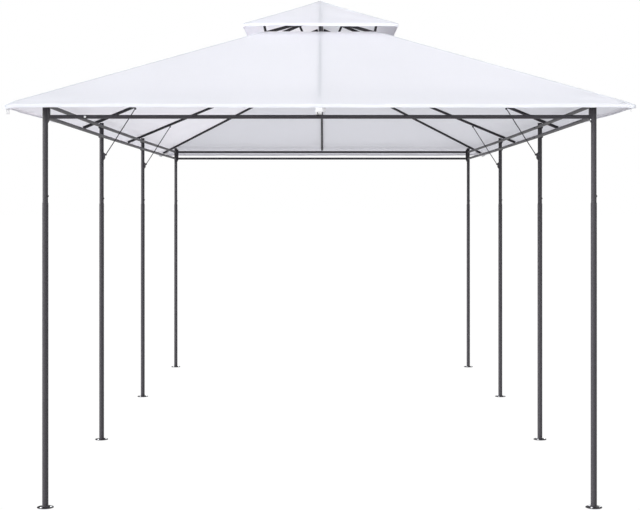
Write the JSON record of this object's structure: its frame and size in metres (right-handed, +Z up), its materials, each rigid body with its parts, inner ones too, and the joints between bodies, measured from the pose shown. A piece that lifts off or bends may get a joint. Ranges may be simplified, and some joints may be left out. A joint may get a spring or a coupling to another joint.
{
  "type": "garden gazebo",
  "caption": "Free-standing garden gazebo with a two-tier hipped fabric roof and vent on a frame of steel tube posts, beams, rafters and braces, open on all sides.",
  "frame": {"origin": "middle of the plan at ground level, on the undersides of the foot plates", "axes": "+X across the roof to the right seen from the front, +Y along the ridge to the back, +Z up"},
  "size_m": [3, 6.0002, 2.6649],
  "materials": {
    "frame_paint": "satin anthracite powder coat",
    "roof_fabric": "matt white woven polyester"
  },
  "bodies": {
    "root": {"post_front_left": "frame_paint", "post_front_right": "frame_paint", "post_back_left": "frame_paint", "post_back_right": "frame_paint", "post_middle_front_left": "frame_paint", "post_middle_front_right": "frame_paint", "post_middle_back_left": "frame_paint", "post_middle_back_right": "frame_paint", "beam_front_lower": "frame_paint", "beam_back_lower": "frame_paint", "beam_left_lower": "frame_paint", "beam_right_lower": "frame_paint", "beam_front_upper": "frame_paint", "beam_back_upper": "frame_paint", "beam_left_upper": "frame_paint", "beam_right_upper": "frame_paint", "hip_rafter_front_left": "frame_paint", "side_rafter_front_left": "frame_paint", "hip_rafter_front_right": "frame_paint", "side_rafter_front_right": "frame_paint", "end_rafter_front": "frame_paint", "hip_rafter_back_left": "frame_paint", "side_rafter_back_left": "frame_paint", "hip_rafter_back_right": "frame_paint", "side_rafter_back_right": "frame_paint", "end_rafter_back": "frame_paint", "ridge_tube": "frame_paint", "top_ridge_tube": "frame_paint", "top_hip_rafter_front_left": "frame_paint", "top_side_rafter_front_left": "frame_paint", "top_hip_rafter_front_right": "frame_paint", "top_side_rafter_front_right": "frame_paint", "top_end_rafter_front": "frame_paint", "top_hip_rafter_back_left": "frame_paint", "top_side_rafter_back_left": "frame_paint", "top_hip_rafter_back_right": "frame_paint", "top_side_rafter_back_right": "frame_paint", "top_end_rafter_back": "frame_paint", "brace_front_left": "frame_paint", "brace_front_right": "frame_paint", "brace_back_left": "frame_paint", "brace_back_right": "frame_paint", "main_roof_cloth": "roof_fabric", "top_roof_cloth": "roof_fabric"}
  },
  "joints": []
}
